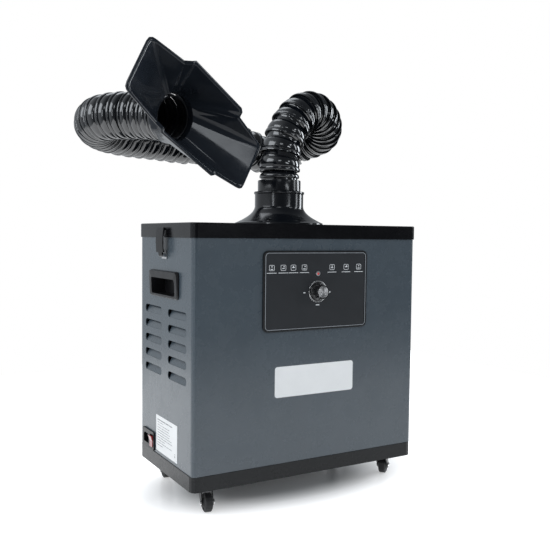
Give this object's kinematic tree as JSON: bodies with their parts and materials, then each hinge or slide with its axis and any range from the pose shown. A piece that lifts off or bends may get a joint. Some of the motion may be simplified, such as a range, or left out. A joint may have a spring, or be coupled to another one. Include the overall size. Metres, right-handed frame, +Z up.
{
  "type": "fume extractor",
  "caption": "Wheeled filter cabinet with a lid, control panel, side louvres and carry handles, and a ring-jointed suction arm that ends in a wide flared hood.",
  "frame": {"origin": "centre of the tray's underside, in the plane that the casters are bolted to", "axes": "+X to the right along the cabinet's front, -Y out of the front, +Z up through the lid"},
  "size_m": [0.5806, 0.4004, 0.7004],
  "materials": {
    "cabinet_paint": "satin",
    "lid_paint": "satin",
    "tray_paint": "satin",
    "gasket_rubber": "matt",
    "arm_plastic": "gloss",
    "hood_plastic": "gloss",
    "flange_plastic": "gloss",
    "screw_black": "black oxide",
    "panel_plastic": "matt",
    "fitting_plastic": "satin",
    "knob_plastic": "satin",
    "latch_plastic": "satin",
    "impeller_plastic": "satin",
    "knob_aluminium": "spun",
    "lamp_bezel": "polished",
    "lamp_red": "gloss",
    "rocker_red": "gloss",
    "plated_steel": "zinc plated",
    "caster_fork_black": "satin",
    "wheel_rubber": "satin",
    "filter_fibre": "matt",
    "motor_paint": "satin",
    "board_green": "satin"
  },
  "bodies": {
    "cabinet": {"base_tray": "tray_paint", "blower_inlet_ring": "plated_steel", "blower_motor": "motor_paint", "cabinet_shell": "cabinet_paint", "carry_handle_left": "fitting_plastic", "carry_handle_right": "fitting_plastic", "caster_plate_back_left": "plated_steel", "caster_plate_back_right": "plated_steel", "caster_plate_front_left": "plated_steel", "caster_plate_front_right": "plated_steel", "control_board": "board_green", "control_panel": "panel_plastic", "dial_ring": "knob_aluminium", "duct_flange": "flange_plastic", "filter_chamber": "plated_steel", "filter_frame": "panel_plastic", "filter_pleats": "filter_fibre", "flange_screw_1": "screw_black", "flange_screw_2": "screw_black", "flange_screw_3": "screw_black", "flange_screw_4": "screw_black", "lamp_bezel": "lamp_bezel", "lamp_lens": "lamp_red", "latch_left_base": "plated_steel", "latch_left_keeper": "plated_steel", "latch_right_base": "plated_steel", "latch_right_keeper": "plated_steel", "lid": "lid_paint", "lid_gasket": "gasket_rubber", "mains_inlet": "fitting_plastic", "motor_bracket": "plated_steel", "potentiometer": "plated_steel", "prefilter_pad": "filter_fibre"},
    "arm_swivel_body": {"arm_cuff": "arm_plastic", "arm_section_1": "arm_plastic"},
    "arm_link_1": {"arm_section_2": "arm_plastic"},
    "arm_link_2": {"arm_section_3": "arm_plastic"},
    "arm_link_3": {"arm_section_4": "arm_plastic"},
    "arm_link_4": {"arm_section_5": "arm_plastic"},
    "arm_link_5": {"arm_section_6": "arm_plastic"},
    "hood_body": {"hood": "hood_plastic"},
    "speed_knob_body": {"speed_knob": "knob_plastic", "knob_cap": "knob_aluminium", "knob_shaft": "plated_steel"},
    "latch_left_body": {"latch_left_strap": "latch_plastic"},
    "latch_right_body": {"latch_right_strap": "latch_plastic"},
    "rocker_body": {"power_rocker": "rocker_red"},
    "impeller_body": {"impeller": "impeller_plastic"},
    "caster_front_left": {"caster_fork_front_left": "caster_fork_black", "caster_axle_front_left": "plated_steel"},
    "wheel_front_left": {"caster_wheel_front_left": "wheel_rubber"},
    "caster_front_right": {"caster_fork_front_right": "caster_fork_black", "caster_axle_front_right": "plated_steel"},
    "wheel_front_right": {"caster_wheel_front_right": "wheel_rubber"},
    "caster_back_left": {"caster_fork_back_left": "caster_fork_black", "caster_axle_back_left": "plated_steel"},
    "wheel_back_left": {"caster_wheel_back_left": "wheel_rubber"},
    "caster_back_right": {"caster_fork_back_right": "caster_fork_black", "caster_axle_back_right": "plated_steel"},
    "wheel_back_right": {"caster_wheel_back_right": "wheel_rubber"}
  },
  "joints": [
    {"name": "arm_swivel", "type": "hinge", "parent": "cabinet", "child": "arm_swivel_body", "pos_m": [0, 0, 0.4736], "axis": [0, 0, 1], "range_deg": [-150, 150]},
    {"name": "arm_bend_1", "type": "hinge", "parent": "arm_swivel_body", "child": "arm_link_1", "pos_m": [0.00298, 0.00029, 0.54376], "axis": [0.0963, -0.9954, 0], "range_deg": [-12, 4]},
    {"name": "arm_bend_2", "type": "hinge", "parent": "arm_link_1", "child": "arm_link_2", "pos_m": [0.017, 0.14405, 0.56384], "axis": [0.3008, 0.0186, 0.9535], "range_deg": [-12, 9]},
    {"name": "arm_bend_3", "type": "hinge", "parent": "arm_link_2", "child": "arm_link_3", "pos_m": [-0.1003, 0.14577, 0.56481], "axis": [0.0001, 1, 0], "range_deg": [-5, 12]},
    {"name": "arm_bend_4", "type": "hinge", "parent": "arm_link_3", "child": "arm_link_4", "pos_m": [-0.21664, 0.12404, 0.56667], "axis": [0.0059, 0.0021, 1], "range_deg": [-12, 9]},
    {"name": "arm_bend_5", "type": "hinge", "parent": "arm_link_4", "child": "arm_link_5", "pos_m": [-0.28008, -0.03929, 0.57804], "axis": [-0.8567, -0.5159, 0], "range_deg": [-9, 12]},
    {"name": "hood_turn", "type": "hinge", "parent": "arm_link_5", "child": "hood_body", "pos_m": [-0.2445, -0.114, 0.5677], "axis": [0.3783, -0.9132, -0.1513], "range_deg": [-90, 90]},
    {"name": "speed_knob_turn", "type": "hinge", "parent": "cabinet", "child": "speed_knob_body", "pos_m": [0.0073, -0.115, 0.3045], "axis": [0, 1, 0], "range_deg": [0, 270]},
    {"name": "latch_left_hinge", "type": "hinge", "parent": "cabinet", "child": "latch_left_body", "pos_m": [-0.2205, 0, 0.3625], "axis": [0, -1, 0], "range_deg": [0, 110]},
    {"name": "latch_right_hinge", "type": "hinge", "parent": "cabinet", "child": "latch_right_body", "pos_m": [0.2205, 0, 0.3625], "axis": [0, 1, 0], "range_deg": [0, 110]},
    {"name": "power_rocker_tilt", "type": "hinge", "parent": "cabinet", "child": "rocker_body", "pos_m": [-0.2168, 0.0545, 0.041], "axis": [0, 1, 0], "range_deg": [0, 16]},
    {"name": "impeller_spin", "type": "hinge", "parent": "cabinet", "child": "impeller_body", "pos_m": [0, 0, 0.264], "axis": [0, 0, 1], "continuous": true},
    {"name": "caster_swivel_front_left", "type": "hinge", "parent": "cabinet", "child": "caster_front_left", "pos_m": [-0.178, -0.08, 0], "axis": [0, 0, 1], "continuous": true},
    {"name": "wheel_spin_front_left", "type": "hinge", "parent": "caster_front_left", "child": "wheel_front_left", "pos_m": [-0.18026, -0.0928, -0.026], "axis": [-0.9848, 0.1736, 0], "continuous": true},
    {"name": "caster_swivel_front_right", "type": "hinge", "parent": "cabinet", "child": "caster_front_right", "pos_m": [0.178, -0.08, 0], "axis": [0, 0, 1], "continuous": true},
    {"name": "wheel_spin_front_right", "type": "hinge", "parent": "caster_front_right", "child": "wheel_front_right", "pos_m": [0.18796, -0.07164, -0.026], "axis": [0.6428, -0.766, 0], "continuous": true},
    {"name": "caster_swivel_back_left", "type": "hinge", "parent": "cabinet", "child": "caster_back_left", "pos_m": [-0.178, 0.08, 0], "axis": [0, 0, 1], "continuous": true},
    {"name": "wheel_spin_back_left", "type": "hinge", "parent": "caster_back_left", "child": "wheel_back_left", "pos_m": [-0.17597, 0.09284, -0.026], "axis": [0.9877, -0.1564, 0], "continuous": true},
    {"name": "caster_swivel_back_right", "type": "hinge", "parent": "cabinet", "child": "caster_back_right", "pos_m": [0.178, 0.08, 0], "axis": [0, 0, 1], "continuous": true},
    {"name": "wheel_spin_back_right", "type": "hinge", "parent": "caster_back_right", "child": "wheel_back_right", "pos_m": [0.18636, 0.08996, -0.026], "axis": [0.766, -0.6428, 0], "continuous": true}
  ]
}
